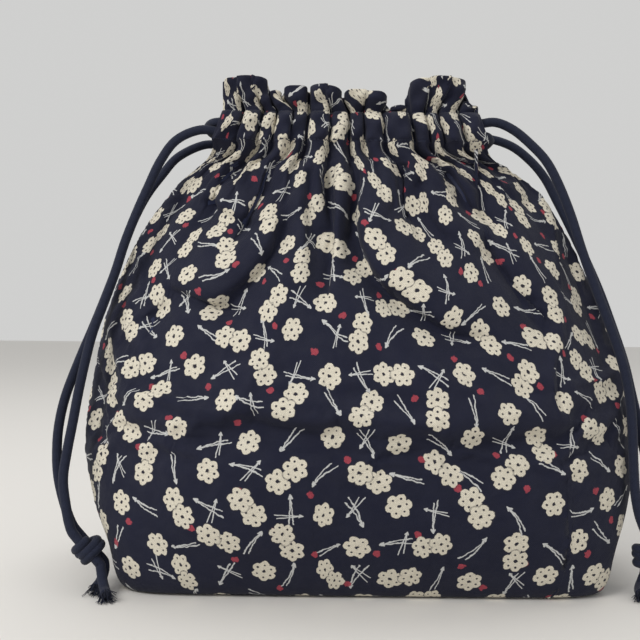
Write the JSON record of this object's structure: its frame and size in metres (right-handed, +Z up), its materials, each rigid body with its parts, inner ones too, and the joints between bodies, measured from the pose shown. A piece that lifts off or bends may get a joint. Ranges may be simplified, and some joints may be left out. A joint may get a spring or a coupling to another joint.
{
  "type": "drawstring knitting bag",
  "caption": "Full, rounded project bag of printed cotton with a flat boxed base and a gathered neck, drawn shut by a knotted cord at each side.",
  "frame": {"origin": "middle of the base's underside, on the surface that the bag stands on", "axes": "+X to the bag's right, along its width; -Y out of its front; +Z up"},
  "size_m": [0.3029, 0.1604, 0.26],
  "materials": {
    "printed_cotton": "plain-weave cotton, navy ground printed with small cream blossoms, pale needles and red berries",
    "lining_cotton": "plain navy cotton lining",
    "interlining": "off-white needled wadding",
    "braided_cord": "soft round navy cotton braid"
  },
  "bodies": {
    "bag": {"outer_front_panel": "printed_cotton", "outer_back_panel": "printed_cotton", "outer_base_panel": "printed_cotton", "lining_front_panel": "lining_cotton", "lining_back_panel": "lining_cotton", "lining_base_panel": "lining_cotton", "base_interlining": "interlining", "neck_side_left": "printed_cotton", "neck_side_right": "printed_cotton", "casing_end_left_front": "printed_cotton", "casing_end_left_back": "printed_cotton", "casing_end_right_front": "printed_cotton", "casing_end_right_back": "printed_cotton", "frill_end_left_front": "printed_cotton", "frill_end_left_back": "printed_cotton", "frill_end_right_front": "printed_cotton", "frill_end_right_back": "printed_cotton", "left_cord_slit_loop": "braided_cord", "right_cord_slit_loop": "braided_cord"},
    "front_lip": {"neck_front": "printed_cotton", "casing_front": "printed_cotton", "frill_front": "printed_cotton", "left_cord_front_run": "braided_cord", "right_cord_front_run": "braided_cord"},
    "back_lip": {"neck_back": "printed_cotton", "casing_back": "printed_cotton", "frill_back": "printed_cotton", "left_cord_back_run": "braided_cord", "right_cord_back_run": "braided_cord"},
    "left_cord": {"left_cord_front_strand": "braided_cord", "left_cord_back_strand": "braided_cord", "left_cord_knot": "braided_cord", "left_cord_tail_front": "braided_cord", "left_cord_tail_back": "braided_cord"},
    "right_cord": {"right_cord_front_strand": "braided_cord", "right_cord_back_strand": "braided_cord", "right_cord_knot": "braided_cord", "right_cord_tail_front": "braided_cord", "right_cord_tail_back": "braided_cord"}
  },
  "joints": [
    {"name": "mouth_front", "type": "slide", "parent": "bag", "child": "front_lip", "axis": [0, -1, 0], "range_m": [0, 0.035]},
    {"name": "mouth_back", "type": "slide", "parent": "bag", "child": "back_lip", "axis": [0, 1, 0], "range_m": [0, 0.035]},
    {"name": "left_cord_pull", "type": "slide", "parent": "bag", "child": "left_cord", "axis": [-1, 0, 0], "range_m": [0, 0.024]},
    {"name": "right_cord_pull", "type": "slide", "parent": "bag", "child": "right_cord", "axis": [1, 0, 0], "range_m": [0, 0.024]}
  ],
  "couplings": [
    {"joint": "mouth_back", "follows": "mouth_front", "ratio": 1}
  ]
}
